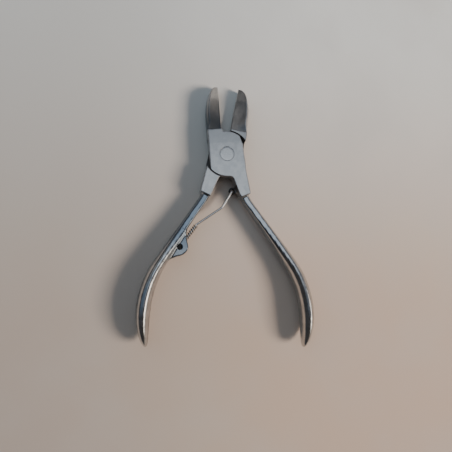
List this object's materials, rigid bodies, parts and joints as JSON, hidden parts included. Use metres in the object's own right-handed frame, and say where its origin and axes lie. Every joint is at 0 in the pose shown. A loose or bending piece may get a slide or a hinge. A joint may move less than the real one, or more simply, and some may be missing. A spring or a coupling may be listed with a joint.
{
  "type": "nipper pliers",
  "caption": "Slim spring-opened lap-joint nippers with smooth ground jaws, for grozing glass edges and trimming, with a coil on a sliding rod between the handles.",
  "frame": {"origin": "rivet axis at the back face of the joint", "axes": "+Y along the tool towards the jaws, +Z out of the front face, +X to the right seen from the front with the jaws up"},
  "size_m": [0.0889, 0.1322, 0.0116],
  "materials": {
    "satin_steel": "satin ground stainless steel, hollow-ground jaws and rounded handles",
    "black_steel": "dark oiled steel, recessed in its hole",
    "bright_wire": "bright drawn stainless wire"
  },
  "bodies": {
    "back": {"back_arm": "satin_steel", "pivot_rivet": "satin_steel"},
    "front": {"front_arm": "satin_steel"},
    "swivel": {"swivel_pin": "black_steel", "return_spring": "bright_wire"},
    "rod": {"spring_rod": "bright_wire"}
  },
  "joints": [
    {"name": "arm_pivot", "type": "hinge", "parent": "back", "child": "front", "pos_m": [0, 0, 0.004], "axis": [0, 0, 1], "range_deg": [-17, 0], "stiffness_Nm_per_rad": 1.5, "springref_deg": 6.88},
    {"name": "swivel_turn", "type": "hinge", "parent": "back", "child": "swivel", "pos_m": [-0.02187, -0.04759, 0.004], "axis": [0, 0, 1], "range_deg": [0, 7]},
    {"name": "rod_slide", "type": "slide", "parent": "swivel", "child": "rod", "axis": [-0.5707, -0.8211, 0], "range_m": [0, 0.0039], "deforming": ["return_spring"]}
  ],
  "couplings": [
    {"joint": "swivel_turn", "follows": "arm_pivot", "ratio": -0.39},
    {"joint": "rod_slide", "follows": "arm_pivot", "m_per_rad": -0.012777}
  ]
}
